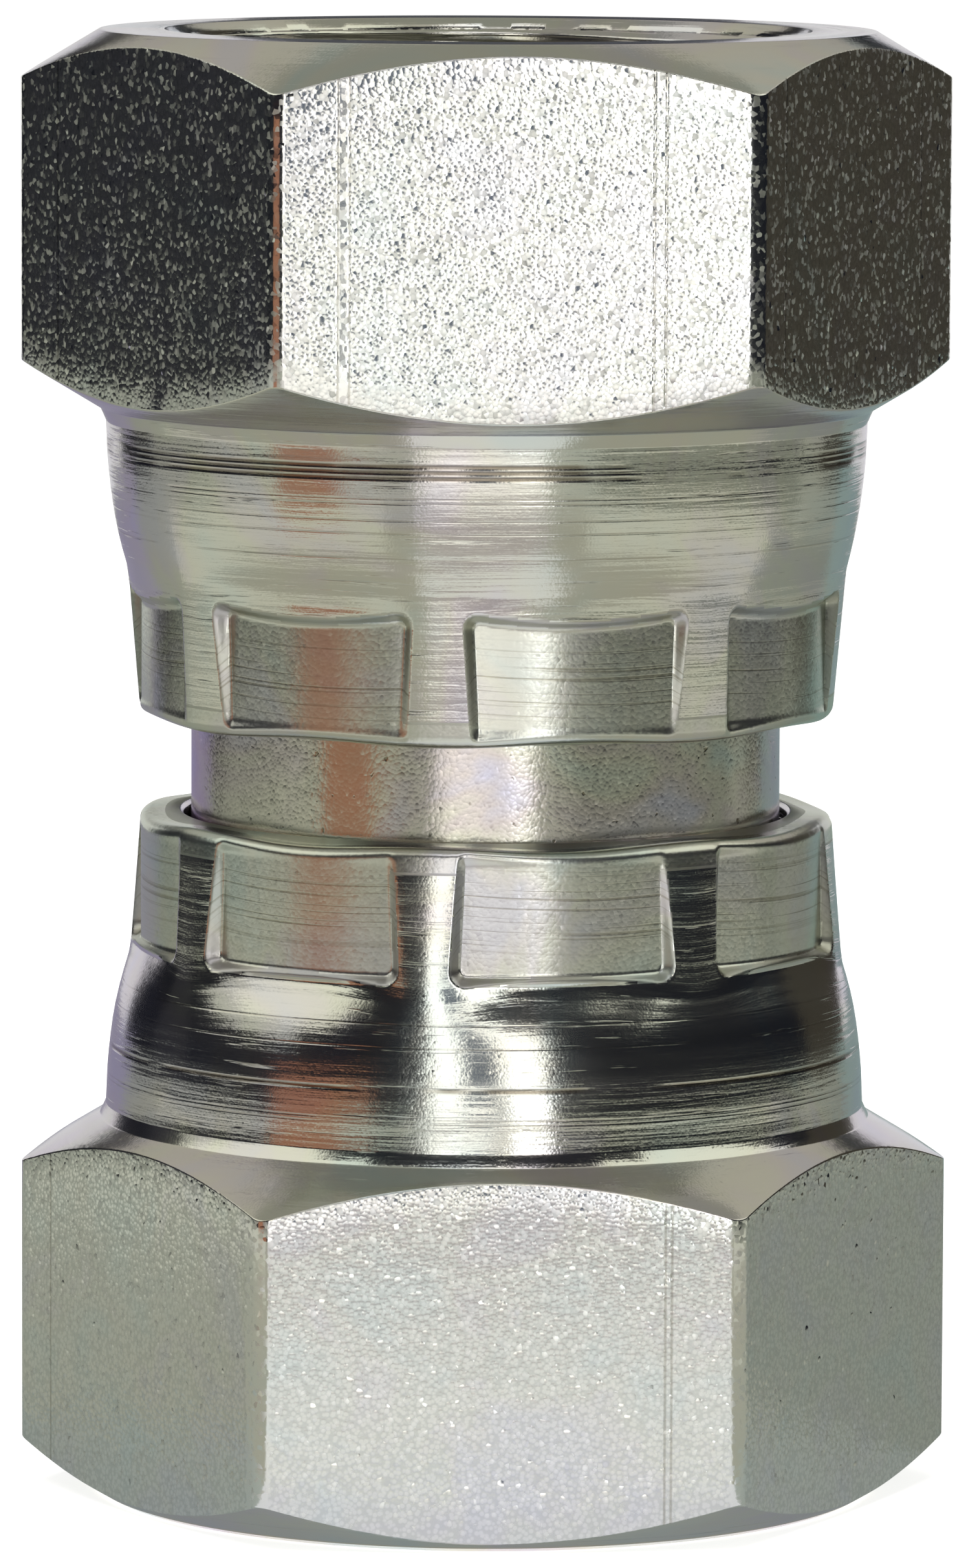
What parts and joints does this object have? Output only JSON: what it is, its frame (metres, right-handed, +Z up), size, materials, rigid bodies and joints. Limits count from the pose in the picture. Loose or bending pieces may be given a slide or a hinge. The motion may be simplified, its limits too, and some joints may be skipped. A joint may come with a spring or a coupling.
{
  "type": "female swivel adapter",
  "caption": "Straight hydraulic adapter: a tubular stem with a cone nose at each end, inside crimped hexagonal swivel nuts with internal threads.",
  "frame": {"origin": "centre of the lower nut's mouth face, on which the adapter stands", "axes": "+Z up along the common axis of stem and nuts; -Y is the front, +X its right"},
  "size_m": [0.0252, 0.0228, 0.0397],
  "materials": {
    "zinc_plated_steel": "turned and drawn steel, zinc plated with a clear, faintly iridescent passivation"
  },
  "bodies": {
    "stem": {"stem": "zinc_plated_steel"},
    "lower_nut": {"lower_nut": "zinc_plated_steel"},
    "upper_nut": {"upper_nut": "zinc_plated_steel"}
  },
  "joints": [
    {"name": "lower_nut_swivel", "type": "hinge", "parent": "stem", "child": "lower_nut", "pos_m": [0, 0, 0.01575], "axis": [0, 0, 1], "continuous": true},
    {"name": "upper_nut_swivel", "type": "hinge", "parent": "stem", "child": "upper_nut", "pos_m": [0, 0, 0.02395], "axis": [0, 0, 1], "continuous": true}
  ]
}
